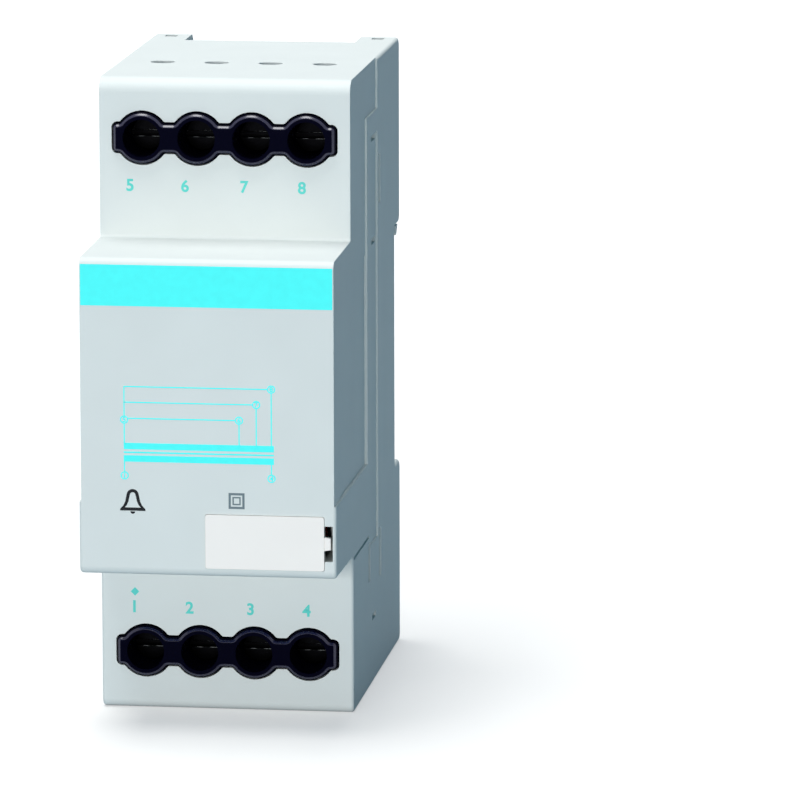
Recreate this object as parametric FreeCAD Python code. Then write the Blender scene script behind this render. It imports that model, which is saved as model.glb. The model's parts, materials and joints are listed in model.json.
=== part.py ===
import FreeCAD, Part
import math
import os

# Bell transformer for a 35 mm mounting rail, two modules wide.
# The front faces -Y, +Z is up, and the origin is the middle of the face that seats on the rail.
# All sizes are in millimetres. Depths are counted forward from the rail seat, and setbacks back from
# the face that the name gives.

# How far a cutter runs past the surface that it cuts
overcut = 1.0

# Rail and module grid
module_width = 18.0
module_count = 2
rail_height = 35.0
rail_flange = 1.0
rail_gap = 0.2
hook_gap = 0.3

# Housing envelope
body_height = 90.0
nose_height = 45.0
shoulder_depth = 44.5
nose_depth = 61.5
foot_depth = 5.5
seam_depth = 18.5
nose_draft = 0.3

# Housing walls and edges
front_wall = 1.6
side_wall = 1.9
back_wall = 1.8
back_depth = 2.0
foot_width = 5.5
edge_radius = 0.5
shoulder_radius = 2.0
base_radius = 1.2
nose_radius = 1.1
root_radius = 0.4
foot_cut = 0.8
foot_hole_width = 1.8
foot_hole_depth = 2.0
hook_reach = 1.2
hook_thickness = 1.9
hook_slope = 1.4
seat_relief = 0.4
seat_margin = 0.4

# Steps in the flanks of the cover
flank_step = 0.3
panel_step = 0.15
flank_edge_depth = 29.5
flank_rib_width = 3.0
flank_top_inset = 7.3
flank_land = 3.2
flank_ledge = -12.0
panel_top = 18.2
panel_depth = 55.5
groove_bottom = -24.5
slit_width = 1.8
slit_length = 5.6
slit_inset = 21.2
nose_groove_height = 0.5
flank_slot_length = 4.0
flank_slot_height = 0.9
flank_slot_depth = 0.8
flank_slots = [(2.4, 33.9), (2.4, 19.0), (4.5, -35.3)]

# Snap hooks that hold the cover on the base
snap_height = 27.3
snap_length = 7.0
snap_setback = 2.0
snap_window_width = 2.2
snap_gap = 0.3
snap_tongue = 1.1
snap_root = 3.5
snap_nub = 1.1

# Label plate in the nose, with its spring tab
label_width = 16.6
label_height = 7.6
label_middle = 8.0
label_bottom_margin = 1.2
label_thickness = 1.0
label_proud = 0.15
label_gap = 0.05
label_radius = 0.3
tab_width = 1.6
tab_taper = 0.15
tab_reach = 0.9
tab_notch_height = 5.0
tab_notch_depth = 8.0

# Scalloped terminal blocks
terminal_count = 4
row_inset = 8.4
block_end_wall = 1.175
lobe_gap = 0.275
lobe_wall = 0.95
bar_height = 4.0
bar_corner = 0.6
bar_end = 0.18
web_radius = 0.6
opening_gap = 0.25
block_proud = 0.8
rim_cut = 0.4
block_gap = 0.2
block_inner_drop = 4.7
block_setback = 22.5
pocket_gap = 0.3
seat_setback = 7.5
seat_thickness = 1.4
wire_entry_width = 3.7
wire_entry_length = 3.4
wire_entry_cut = 0.9
wire_entry_setback = 18.0

# Terminal screws and clamp cages
screw_head_gap = 0.15
screw_head_height = 2.4
screw_radius = 1.75
screw_play = 0.1
screw_hole_gap = 0.2
screw_slot_width = 0.8
screw_slot_depth = 1.2
thread_play = 0.05
cage_width = 5.6
cage_front = 1.4
cage_rear = 1.2
cage_side = 0.9
cage_window = 5.7
cage_corner = 0.6
cage_setback = 12.8

# Contact strips
contact_width = 3.2
contact_thickness = 1.0
contact_setback = 14.5
contact_fit = 0.05
contact_seat = 1.0
contact_tail = 2.9
contact_fork_width = 1.1
contact_fork_depth = 1.3

# Laminated core, an E stack closed by an I stack
core_leg = 8.0
core_tongue = 16.0
core_gap = 0.6
core_rib = 4.9
core_rear_depth = 7.0
core_pad_height = 6.0

# Coil
bobbin_gap = 0.2
bobbin_tube = 0.9
bobbin_flange = 1.0
bobbin_divider = 0.8
bobbin_side_gap = 0.5
coil_gap = 0.6
winding_gap = 1.9
winding_corner = 2.5
tape_thickness = 0.3

# Leads between the coil and the contact strips
lead_radius = 0.45
lead_overlap = 2.0
lead_side_gap = 0.5
lead_overrun = 1.1
fuse_radius = 2.0
fuse_length = 10.0

# Rail latch and its spring
latch_width = 11.0
latch_gap = 0.3
latch_thickness = 4.7
latch_tip = 0.6
latch_slope = 2.0
latch_end_margin = 1.0
latch_flange_width = 1.5
latch_flange_thickness = 2.0
guide_width = 2.0
guide_lip = 1.2
guide_margin = 1.2
latch_window_width = 4.0
latch_window_inset = 18.0
latch_window_play = 1.5
latch_slot_width = 5.0
latch_slot_height = 1.2
latch_slot_depth = 1.6
stub_height = 1.5
stub_width = 3.4
spring_radius = 1.25
spring_wire = 0.22
spring_turns = 5
spring_wire_sides = 4
spring_length = 12.0

# Places that follow from the sizes above
half_width = module_width * module_count / 2
half_height = body_height / 2
half_nose = nose_height / 2
half_channel = rail_height / 2 + rail_gap
y_shoulder = -shoulder_depth
y_nose = -nose_depth
y_seam = -seam_depth
y_inner_front = y_shoulder + front_wall
inner_half_width = half_width - side_wall
inner_half_height = half_height - front_wall
half_bar = bar_height / 2
half_cage = cage_width / 2
half_pocket = half_cage + pocket_gap
block_half_width = inner_half_width - block_gap
terminal_pitch = 2 * (block_half_width - block_end_wall - half_pocket) / (terminal_count - 1)
first_terminal = -terminal_pitch * (terminal_count - 1) / 2
terminal_places = [first_terminal + i * terminal_pitch for i in range(terminal_count)]
lobe_radius = terminal_pitch / 2 - lobe_gap
web_offset = math.sqrt((lobe_radius + web_radius) ** 2 - (half_bar + web_radius) ** 2)
bar_length = terminal_pitch * (terminal_count - 1) + 2 * (web_offset + bar_corner + bar_end)
well_radius = lobe_radius - lobe_wall
screw_head_radius = well_radius - screw_head_gap
row_height = half_height - row_inset
y_seat = y_shoulder + seat_setback
y_block_rear = y_shoulder + block_setback
y_wire_entry = y_shoulder + wire_entry_setback
pocket_front_y = y_seat + seat_thickness
cage_front_y = y_shoulder + cage_setback
cage_window_y = cage_front_y + cage_front
cage_rear_y = cage_window_y + cage_window
y_contact = y_shoulder + contact_setback
y_contact_rear = y_contact + contact_thickness
block_top = inner_half_height - block_gap - row_height
core_width = nose_depth - front_wall - core_rib - core_rear_depth
y_core = -core_rear_depth - core_width / 2
half_tongue = core_tongue / 2
half_core_height = half_nose - nose_draft - front_wall - core_gap
half_window = half_core_height - core_leg
core_window_width = (core_width - core_tongue) / 2 - core_leg
half_stack = inner_half_width - coil_gap - core_window_width + bobbin_side_gap
winding_build = core_window_width - bobbin_gap - bobbin_tube - winding_gap
bobbin_half_x = half_stack + bobbin_gap + bobbin_tube
bobbin_half_y = half_tongue + bobbin_gap + bobbin_tube
flange_reach = core_window_width - bobbin_side_gap - bobbin_gap - bobbin_tube
bobbin_end = half_window - bobbin_gap
flank_top = half_height - flank_top_inset
y_snap = y_seam + snap_setback
label_low = -half_nose + nose_draft + label_bottom_margin
tab_middle = label_low + label_height / 2
latch_front_y = -back_depth + latch_gap
latch_rear_y = latch_front_y + latch_thickness
latch_hook_y = rail_flange + hook_gap
latch_top_z = -half_channel - latch_gap
latch_tip_z = -rail_height / 2 + hook_reach
half_latch = latch_width / 2
latch_window_z = -half_height + latch_window_inset
stub_top_z = latch_window_z - spring_length
latch_window_end_z = stub_top_z - stub_height - latch_window_play
latch_end_z = -half_height + latch_end_margin


def vec(x, y, z):
    return FreeCAD.Vector(x, y, z)


def box(x0, x1, y0, y1, z0, z1):
    """A box between two values on each axis, given in either order."""
    low = vec(min(x0, x1), min(y0, y1), min(z0, z1))
    return Part.makeBox(abs(x1 - x0), abs(y1 - y0), abs(z1 - z0), low)


def rod(start, end, radius):
    """A round bar from one point to another."""
    return Part.makeCylinder(radius, (end - start).Length, start, end - start)


def rounded_wire(points, radii):
    """A closed outline through the points, each corner rounded by its own radius."""
    arcs = []
    for i, corner in enumerate(points):
        before = (points[i - 1] - corner).normalize()
        after = (points[(i + 1) % len(points)] - corner).normalize()
        half_angle = before.getAngle(after) / 2
        reach = radii[i] / math.tan(half_angle)
        bisector = (before + after).normalize()
        middle = corner + bisector * (radii[i] / math.sin(half_angle) - radii[i])
        arcs.append((corner + before * reach, middle, corner + after * reach))
    edges = []
    for i, (start, middle, end) in enumerate(arcs):
        if radii[i] > 0:
            edges.append(Part.Arc(start, middle, end).toShape())
        edges.append(Part.LineSegment(end, arcs[(i + 1) % len(arcs)][0]).toShape())
    return Part.Wire(edges)


def prism(points, radii, travel):
    """A flat rounded outline pushed along a straight line."""
    return Part.Face(rounded_wire(points, radii)).extrude(travel)


def side_prism(profile, radii, x0, x1):
    """A profile of (y, z) points pushed along X."""
    return prism([vec(x0, y, z) for y, z in profile], radii, vec(x1 - x0, 0, 0))


def plain_side_prism(profile, x0, x1):
    return side_prism(profile, [0] * len(profile), x0, x1)


def front_block(x_middle, z_middle, width, height, radius, y0, y1):
    """A block with a rounded rectangle as its front view."""
    half_w = width / 2
    half_h = height / 2
    corners = [(-half_w, -half_h), (half_w, -half_h), (half_w, half_h), (-half_w, half_h)]
    points = [vec(x_middle + x, y0, z_middle + z) for x, z in corners]
    return prism(points, [radius] * len(points), vec(0, y1 - y0, 0))


def plan_block(x_middle, y_middle, width, length, radius, z0, z1):
    """A block with a rounded rectangle as its plan."""
    half_w = width / 2
    half_l = length / 2
    corners = [(-half_w, -half_l), (half_w, -half_l), (half_w, half_l), (-half_w, half_l)]
    points = [vec(x_middle + x, y_middle + y, z0) for x, y in corners]
    return prism(points, [radius] * len(points), vec(0, 0, z1 - z0))


def cut_corner_block(x_middle, y_middle, width, length, cut, z0, z1):
    """A block with cut corners in its plan."""
    half_w = width / 2
    half_l = length / 2
    quarter = [(half_w, half_l - cut), (half_w - cut, half_l)]
    half = quarter + [(-x, y) for x, y in reversed(quarter)]
    plan = half + [(-x, -y) for x, y in half]
    points = [vec(x_middle + x, y_middle + y, z0) for x, y in plan]
    return prism(points, [0] * len(points), vec(0, 0, z1 - z0))


def flank_edges(shape, skip_y):
    """The outline edges of both flanks, apart from those on the open seam."""
    chosen = []
    for edge in shape.Edges:
        points = [vertex.Point for vertex in edge.Vertexes]
        on_flank = all(abs(abs(p.x) - half_width) < 1e-6 for p in points)
        same_side = len({p.x > 0 for p in points}) == 1
        on_seam = all(abs(p.y - skip_y) < 1e-6 for p in points)
        if on_flank and same_side and not on_seam:
            chosen.append(edge)
    return chosen


def edges_at(shape, y):
    """Edges that lie in one plane across the depth."""
    return [e for e in shape.Edges if all(abs(v.Y - y) < 1e-6 for v in e.Vertexes)]


def mirrored(shape, end):
    """Parts are drawn for the upper end, and the lower end is their mirror image."""
    if end > 0:
        return shape
    return shape.mirror(vec(0, 0, 0), vec(0, 0, 1))


def scallop_wire(y, grow):
    """Outline of a terminal row: a bar with one round lobe per terminal and rounded webs between them."""
    lobe = lobe_radius + grow
    half_height_here = half_bar + grow
    web = web_radius - grow
    end = bar_length / 2 + grow
    corner = bar_corner + grow

    def at(x, z):
        return vec(x, y, row_height + z)

    def corner_arc(side):
        dx = side * corner * math.sqrt(0.5)
        middle = at(side * (end - corner) + dx, half_height_here - corner + abs(dx))
        return at(side * end, half_height_here - corner), middle, at(side * (end - corner), half_height_here)

    def web_arc(x, side):
        centre = at(x + side * web_offset, half_height_here + web)
        to_lobe = (at(x, 0) - centre).normalize()
        to_middle = (to_lobe + vec(0, 0, -1)).normalize()
        return at(x + side * web_offset, half_height_here), centre + to_middle * web, centre + to_lobe * web

    left = corner_arc(-1)
    edges = [Part.LineSegment(at(-end, 0), left[0]).toShape(), Part.Arc(*left).toShape()]
    last = left[2]
    for x in terminal_places:
        rise = web_arc(x, -1)
        fall = web_arc(x, 1)
        edges.append(Part.LineSegment(last, rise[0]).toShape())
        edges.append(Part.Arc(*rise).toShape())
        edges.append(Part.Arc(rise[2], at(x, lobe), fall[2]).toShape())
        edges.append(Part.Arc(fall[2], fall[1], fall[0]).toShape())
        last = fall[0]
    right = corner_arc(1)
    edges.append(Part.LineSegment(last, right[2]).toShape())
    edges.append(Part.Arc(right[2], right[1], right[0]).toShape())
    edges.append(Part.LineSegment(right[0], at(end, 0)).toShape())
    lower = [e.mirror(at(0, 0), vec(0, 0, 1)) for e in edges]
    return Part.Wire(Part.sortEdges(edges + lower)[0])


def scallop_prism(y0, y1, grow):
    return Part.Face(scallop_wire(y0, grow)).extrude(vec(0, y1 - y0, 0)).removeSplitter()


def wire_entry(x, z0, z1):
    """Opening with cut corners for one conductor."""
    return cut_corner_block(x, y_wire_entry, wire_entry_width, wire_entry_length, wire_entry_cut, z0, z1)


def front_cover():
    nose_front = half_nose - nose_draft
    upper = [(y_seam, half_height), (y_shoulder, half_height), (y_shoulder, half_nose), (y_nose, nose_front)]
    profile = upper + [(y, -z) for y, z in reversed(upper)]
    radii = [0, shoulder_radius, root_radius, nose_radius, nose_radius, root_radius, base_radius, 0]
    shell = side_prism(profile, radii, -half_width, half_width)
    shell = shell.makeFillet(edge_radius, flank_edges(shell, y_seam))

    # The hollow follows the outside at one wall thickness.
    y_nose_inner = y_nose + front_wall
    nose_inner = nose_front - front_wall
    upper = [(y_seam, inner_half_height), (y_inner_front, inner_half_height), (y_inner_front, nose_inner),
             (y_nose_inner, nose_inner)]
    hollow = upper + [(y, -z) for y, z in reversed(upper)]
    shell = shell.cut(plain_side_prism(hollow, -inner_half_width, inner_half_width))

    # Each flank steps in above the ledge and in front of a rib, and a faint panel lies a little deeper.
    # A land runs from the top of the rib to the seam, and the flank steps in again below it.
    y_edge = -flank_edge_depth
    y_groove = y_edge + flank_rib_width
    set_in = [(y_seam, half_height + overcut), (y_nose - overcut, half_height + overcut),
              (y_nose - overcut, flank_ledge), (y_edge, flank_ledge),
              (y_edge, flank_top), (y_seam, flank_top)]
    y_slit = (y_edge + y_groove) / 2
    slit_top = -half_height + slit_inset
    for side in (-1, 1):
        outside = side * (half_width + overcut)
        inside = side * (inner_half_width - overcut)
        step = side * (half_width - flank_step)
        panel = side * (half_width - flank_step - panel_step)
        shell = shell.cut(plain_side_prism(set_in, step, outside))
        shell = shell.cut(box(panel, outside, -panel_depth, y_edge, flank_ledge, panel_top))
        shell = shell.cut(box(step, outside, y_groove, y_seam, groove_bottom, flank_top - flank_land))
        shell = shell.cut(box(inside, outside, y_slit - slit_width / 2, y_slit + slit_width / 2,
                              slit_top - slit_length, slit_top))
        # A groove carries the underside of the nose on along the flank, and short slots lie near the seam.
        shell = shell.cut(box(step, outside, y_shoulder + edge_radius, y_slit,
                              -half_nose - nose_groove_height, -half_nose))
        slot_floor = side * (half_width - flank_step - flank_slot_depth)
        for setback, z in flank_slots:
            shell = shell.cut(box(slot_floor, outside, y_seam - setback - flank_slot_length / 2,
                                  y_seam - setback + flank_slot_length / 2,
                                  z - flank_slot_height / 2, z + flank_slot_height / 2))

    # Openings for the terminal blocks and the conductors
    row_opening = scallop_prism(y_shoulder - overcut, y_inner_front + overcut, opening_gap)
    entries = [wire_entry(x, inner_half_height - overcut, half_height + overcut) for x in terminal_places]
    for end in (1, -1):
        for cutter in [row_opening] + entries:
            shell = shell.cut(mirrored(cutter, end))

    # Recess for the label plate, with a notch beside it where its tab sits, open to the hollow behind
    recess_y = y_nose - label_proud + label_thickness
    recess = front_block(label_middle, tab_middle, label_width + 2 * label_gap, label_height + 2 * label_gap,
                         label_radius, y_nose - overcut, recess_y)
    notch = box(inner_half_width - overcut, half_width - edge_radius,
                y_nose - overcut, y_nose + tab_notch_depth,
                tab_middle - tab_notch_height / 2, tab_middle + tab_notch_height / 2)
    shell = shell.cut(recess).cut(notch)

    # Ribs in the nose that hold the core back against the base
    y_core_front = y_core - core_width / 2
    for z in (-half_core_height + core_leg / 2, half_core_height - core_leg / 2):
        rib = box(-half_stack, half_stack, y_nose_inner, y_core_front,
                  z - core_leg / 4, z + core_leg / 4)
        shell = shell.fuse(rib)

    # Snap tongues reach inside the base walls and end in a nub
    tongue_outer = half_width - side_wall - snap_gap
    tongue_inner = tongue_outer - snap_tongue
    tongue_half = snap_length / 2 - snap_gap
    nub_half = snap_window_width / 2 - snap_gap
    for side in (-1, 1):
        for z in (-snap_height, snap_height):
            low = z - tongue_half
            high = z + tongue_half
            root = [tongue_inner, inner_half_width]
            blade = [tongue_inner, tongue_outer]
            nub = [tongue_outer, tongue_outer + snap_gap + snap_nub]
            spans = [(root, y_seam - snap_root, y_seam), (blade, y_seam, y_snap + nub_half),
                     (nub, y_snap - nub_half, y_snap + nub_half)]
            for (x_in, x_out), y0, y1 in spans:
                shell = shell.fuse(box(side * x_in, side * x_out, y0, y1, low, high))
    return shell.removeSplitter()


def base_housing():
    upper = [(y_seam, half_height), (foot_depth - foot_cut, half_height),
             (foot_depth, half_height - foot_cut), (foot_depth, half_channel + foot_cut),
             (foot_depth - foot_cut, half_channel), (0, half_channel)]
    profile = upper + [(y, -z) for y, z in reversed(upper)]
    shell = plain_side_prism(profile, -half_width, half_width)
    shell = shell.makeFillet(edge_radius, flank_edges(shell, y_seam))

    # Between the feet the back wall lies a little in front of the rail seat.
    foot_inner = half_width - foot_width
    for z0, z1 in ((half_channel, half_height + overcut), (-half_height - overcut, -half_channel)):
        shell = shell.cut(box(-foot_inner, foot_inner, -back_depth, foot_depth + overcut, z0, z1))

    # Hollow of the shell, deeper behind the rail seat
    inner_back = -back_depth - back_wall
    cavity = box(-inner_half_width, inner_half_width, y_seam, inner_back,
                 -inner_half_height, inner_half_height)
    pocket_half = half_channel - back_wall
    pocket = box(-inner_half_width, inner_half_width, inner_back, -back_wall, -pocket_half, pocket_half)
    shell = shell.cut(cavity).cut(pocket)

    # Fixed hooks on the upper feet, bevelled to swing over the rail edge
    hook_y = rail_flange + hook_gap
    hook_z = rail_height / 2 - hook_reach
    hook = [(hook_y, half_channel), (hook_y, hook_z), (hook_y + hook_thickness - hook_slope, hook_z),
            (hook_y + hook_thickness, half_channel)]
    for x0, x1 in ((-half_width, -foot_inner), (foot_inner, half_width)):
        shell = shell.fuse(plain_side_prism(hook, x0, x1))

    # The rail seat is relieved under the hooks and the latch, so that only its middle bears on the rail.
    seat_half = rail_height / 2 - hook_reach - seat_margin
    for end in (-1, 1):
        shell = shell.cut(box(-half_width - overcut, half_width + overcut, -seat_relief, hook_y,
                              end * seat_half, end * half_channel))

    # Small pockets in the ends of the feet
    half_hole = foot_hole_width / 2
    y_hole = foot_depth / 2
    for side in (-1, 1):
        for end in (-1, 1):
            x = side * (half_width - foot_width / 2)
            shell = shell.cut(box(x - half_hole, x + half_hole, y_hole - half_hole, y_hole + half_hole,
                                  end * (half_height - foot_hole_depth), end * (half_height + overcut)))

    # Windows for the snap nubs
    half_window_width = snap_window_width / 2
    for side in (-1, 1):
        for z in (-snap_height, snap_height):
            shell = shell.cut(box(side * (inner_half_width - overcut), side * (half_width + overcut),
                                  y_snap - half_window_width, y_snap + half_window_width,
                                  z - snap_length / 2, z + snap_length / 2))

    # Pads that carry the core, and posts that back the terminal blocks between their terminals
    for z in (-half_core_height + core_leg / 2, half_core_height - core_leg / 2):
        pad = box(-half_stack, half_stack, -core_rear_depth, -back_wall,
                  z - core_pad_height / 2, z + core_pad_height / 2)
        shell = shell.fuse(pad)
    post_half = terminal_pitch / 2 - half_pocket
    for end in (-1, 1):
        for x in (-terminal_pitch, terminal_pitch):
            shell = shell.fuse(box(x - post_half, x + post_half, y_block_rear, inner_back,
                                   end * (row_height - half_cage), end * (row_height + half_cage)))

    # Guides for the latch: two rails with lips over its flanges, and the stub that carries the spring
    lip_front = latch_front_y + latch_flange_thickness + latch_gap
    rail_in = half_latch + latch_flange_width + latch_gap
    lip_rear = lip_front + guide_lip
    guide_top = latch_top_z - guide_margin
    for side in (-1, 1):
        shell = shell.fuse(box(side * rail_in, side * (rail_in + guide_width), -back_depth, lip_rear,
                               -half_height, guide_top))
        shell = shell.fuse(box(side * (half_latch + latch_gap), side * rail_in, lip_front, lip_rear,
                               -half_height, guide_top))
    spring_y = (latch_front_y + latch_rear_y) / 2
    stub_rear = spring_y + spring_radius + spring_wire
    shell = shell.fuse(box(-stub_width / 2, stub_width / 2, -back_depth, stub_rear,
                           stub_top_z - stub_height, stub_top_z))
    return shell.removeSplitter()


def label_plate():
    """Snap-in plate for a written label, with the tab that holds it."""
    front = y_nose - label_proud
    plate = front_block(label_middle, tab_middle, label_width, label_height, label_radius,
                        front, front + label_thickness)
    right = label_middle + label_width / 2
    half_tip = tab_width / 2
    half_root = half_tip + tab_taper
    tip = right + tab_reach
    tab = [(right, -half_root), (tip, -half_tip), (tip, half_tip), (right, half_root)]
    points = [vec(x, front + label_proud, tab_middle + z) for x, z in tab]
    plate = plate.fuse(prism(points, [0] * len(points), vec(0, label_thickness - label_proud, 0)))
    return plate.removeSplitter()


def terminal_block(end):
    """One row of terminals: a scalloped front, wells for the screw heads and pockets for the cages."""
    y_front = y_shoulder - block_proud
    y_body = y_inner_front + block_gap
    face = scallop_prism(y_front, y_body, 0)
    face = face.makeChamfer(rim_cut, edges_at(face, y_front))
    body = box(-block_half_width, block_half_width, y_body, y_block_rear,
               row_height - block_inner_drop, row_height + block_top)
    block = face.fuse(body)
    for x in terminal_places:
        front = vec(x, y_front - overcut, row_height)
        well = rod(front, vec(x, y_seat, row_height), well_radius)
        hole = rod(front, vec(x, pocket_front_y + overcut, row_height), screw_radius + screw_hole_gap)
        pocket = box(x - half_pocket, x + half_pocket, pocket_front_y, y_block_rear + overcut,
                     row_height - half_pocket, row_height + half_pocket)
        slot = contact_strip(x, contact_fit)
        entry = wire_entry(x, row_height, row_height + block_top + overcut)
        for cutter in (well, hole, pocket, slot, entry):
            block = block.cut(cutter)
    return mirrored(block.removeSplitter(), end)


def contact_strip(x, grow):
    """Flat strip through a cage, seated at both ends of its pocket, with a tail for the lead."""
    half = contact_width / 2 + grow
    low = row_height - block_inner_drop - contact_tail
    high = row_height + half_pocket + contact_seat + grow
    return box(x - half, x + half, y_contact - grow, y_contact_rear + grow, low, high)


def contact(x, end):
    half = contact_fork_width / 2
    low = row_height - block_inner_drop - contact_tail
    fork = box(x - half, x + half, y_contact, y_contact_rear, low, low + contact_fork_depth)
    return mirrored(contact_strip(x, 0).cut(fork), end)


def terminal_screw(x, end):
    """Captive screw with a slotted head. Its fine thread is left off."""
    y_under = y_seat - screw_play
    y_top = y_under - screw_head_height
    head = rod(vec(x, y_top, row_height), vec(x, y_under, row_height), screw_head_radius)
    shank = rod(vec(x, y_under, row_height), vec(x, y_contact - screw_play, row_height), screw_radius)
    half_slot = screw_slot_width / 2
    reach = screw_head_radius + overcut
    slot = box(x - reach, x + reach, y_top - overcut, y_top + screw_slot_depth,
               row_height - half_slot, row_height + half_slot)
    return mirrored(head.fuse(shank).removeSplitter().cut(slot), end)


def clamp_cage(x, end):
    """Square steel cage that the screw draws forward to grip a conductor under the contact strip."""
    y_rear = cage_rear_y + cage_rear
    y_middle = (cage_front_y + y_rear) / 2
    low = row_height - half_cage
    high = row_height + half_cage
    cage = cut_corner_block(x, y_middle, cage_width, y_rear - cage_front_y, cage_corner, low, high)
    half = half_cage - cage_side
    cage = cage.cut(box(x - half, x + half, cage_window_y, cage_rear_y, low - overcut, high + overcut))
    hole = rod(vec(x, cage_front_y - overcut, row_height), vec(x, cage_window_y + overcut, row_height),
               screw_radius + thread_play)
    return mirrored(cage.cut(hole), end)


def core_e_stack():
    y0 = y_core - core_width / 2
    y1 = y_core + core_width / 2
    bottom = -half_core_height
    stack = box(-half_stack, half_stack, y0, y1, bottom, half_window)
    for y in (y0 + core_leg, y_core + half_tongue):
        stack = stack.cut(box(-half_stack, half_stack, y, y + core_window_width, -half_window, half_window))
    return stack


def core_i_stack():
    return box(-half_stack, half_stack, y_core - core_width / 2, y_core + core_width / 2,
               half_window, half_core_height)


def square_ring(inner_x, inner_y, build, corner, z0, z1):
    """A rounded rectangular ring round the core tongue."""
    outer = plan_block(0, y_core, 2 * (inner_x + build), 2 * (inner_y + build), corner, z0, z1)
    return outer.cut(box(-inner_x, inner_x, y_core - inner_y, y_core + inner_y, z0, z1))


def coil_bobbin():
    """Two-chamber bobbin that keeps the windings apart."""
    tube_x = bobbin_half_x - bobbin_tube
    tube_y = bobbin_half_y - bobbin_tube
    bobbin = square_ring(tube_x, tube_y, bobbin_tube, 0, -bobbin_end, bobbin_end)
    half_divider = bobbin_divider / 2
    levels = [(-bobbin_end, -bobbin_end + bobbin_flange), (-half_divider, half_divider),
              (bobbin_end - bobbin_flange, bobbin_end)]
    reach = bobbin_tube + flange_reach
    for z0, z1 in levels:
        bobbin = bobbin.fuse(square_ring(tube_x, tube_y, reach, 0, z0, z1))
    return bobbin.removeSplitter()


def winding(end):
    """Copper in one chamber of the bobbin."""
    low = bobbin_divider / 2
    high = bobbin_end - bobbin_flange
    return mirrored(square_ring(bobbin_half_x, bobbin_half_y, winding_build, winding_corner, low, high), end)


def winding_tape(end):
    """Wrap of tape round one winding."""
    low = bobbin_divider / 2
    high = bobbin_end - bobbin_flange
    width = 2 * (bobbin_half_x + winding_build)
    length = 2 * (bobbin_half_y + winding_build)
    added = 2 * tape_thickness
    wrap = plan_block(0, y_core, width + added, length + added, winding_corner + tape_thickness, low, high)
    return mirrored(wrap.cut(plan_block(0, y_core, width, length, winding_corner, low, high)), end)


lead_y = y_contact_rear + lead_radius
lead_front_y = y_contact - lead_radius
lead_top = row_height - block_inner_drop - contact_tail + lead_overlap


def secondary_leads():
    """One lead from each upper contact to the upper flange. Inner ones slant behind the outer ones."""
    leads = []
    flange_x = bobbin_half_x + flange_reach - lead_side_gap - 2 * lead_radius
    flange = box(-half_width, half_width, lead_y - overcut, lead_y + overcut, 0, bobbin_end)
    for x in terminal_places:
        if abs(x) > half_stack + lead_radius:
            leads.append(rod(vec(x, lead_front_y, lead_top), vec(x, lead_front_y, bobbin_end), lead_radius))
        else:
            start = vec(x, lead_y, lead_top)
            slant = vec(math.copysign(flange_x, x), lead_y, bobbin_end) - start
            leads.append(rod(start, start + slant * lead_overrun, lead_radius).cut(flange))
    return Part.makeCompound(leads)


fuse_top = -(bobbin_end + lead_top) / 2 + fuse_length / 2


def primary_leads():
    """Leads from the outer lower contacts to the lower flange, the left one through the thermal fuse."""
    left = terminal_places[0]
    right = terminal_places[-1]
    spans = [(left, -bobbin_end, fuse_top), (left, fuse_top - fuse_length, -lead_top),
             (right, -bobbin_end, -lead_top)]
    leads = [rod(vec(x, lead_y, z0), vec(x, lead_y, z1), lead_radius) for x, z0, z1 in spans]
    return Part.makeCompound(leads)


def thermal_fuse():
    x = terminal_places[0]
    return rod(vec(x, lead_y, fuse_top), vec(x, lead_y, fuse_top - fuse_length), fuse_radius)


def rail_latch():
    """Sliding latch at the lower rail edge, with a window for its spring and a slot for a screwdriver."""
    profile = [(latch_front_y, latch_top_z), (latch_hook_y, latch_top_z), (latch_hook_y, latch_tip_z),
               (latch_hook_y + latch_tip, latch_tip_z), (latch_rear_y, latch_tip_z - latch_slope),
               (latch_rear_y, latch_end_z), (latch_front_y, latch_end_z)]
    latch = plain_side_prism(profile, -half_latch, half_latch)
    flange_x = half_latch + latch_flange_width
    latch = latch.fuse(box(-flange_x, flange_x, latch_front_y, latch_front_y + latch_flange_thickness,
                           latch_end_z, latch_top_z - guide_margin))
    half = latch_window_width / 2
    latch = latch.cut(box(-half, half, latch_front_y, latch_rear_y, latch_window_end_z, latch_window_z))
    half_slot = latch_slot_width / 2
    slot_z = (latch_window_end_z + latch_end_z) / 2
    latch = latch.cut(box(-half_slot, half_slot, latch_rear_y - latch_slot_depth, latch_rear_y,
                          slot_z - latch_slot_height / 2, slot_z + latch_slot_height / 2))
    return latch.removeSplitter()


def latch_spring():
    """Compression spring between the latch window and the stub on the base."""
    y = (latch_front_y + latch_rear_y) / 2
    height = spring_length - 2 * spring_wire
    helix = Part.makeHelix(height / spring_turns, height, spring_radius)
    turns = [2 * math.pi * i / spring_wire_sides for i in range(spring_wire_sides)]
    rim = [vec(spring_radius + spring_wire * math.cos(a), 0, spring_wire * math.sin(a)) for a in turns]
    section = Part.makePolygon(rim + rim[:1])
    coil = Part.Wire(helix.Edges).makePipeShell([section], True, True)
    coil.translate(vec(0, y, stub_top_z + spring_wire))
    return coil


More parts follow.
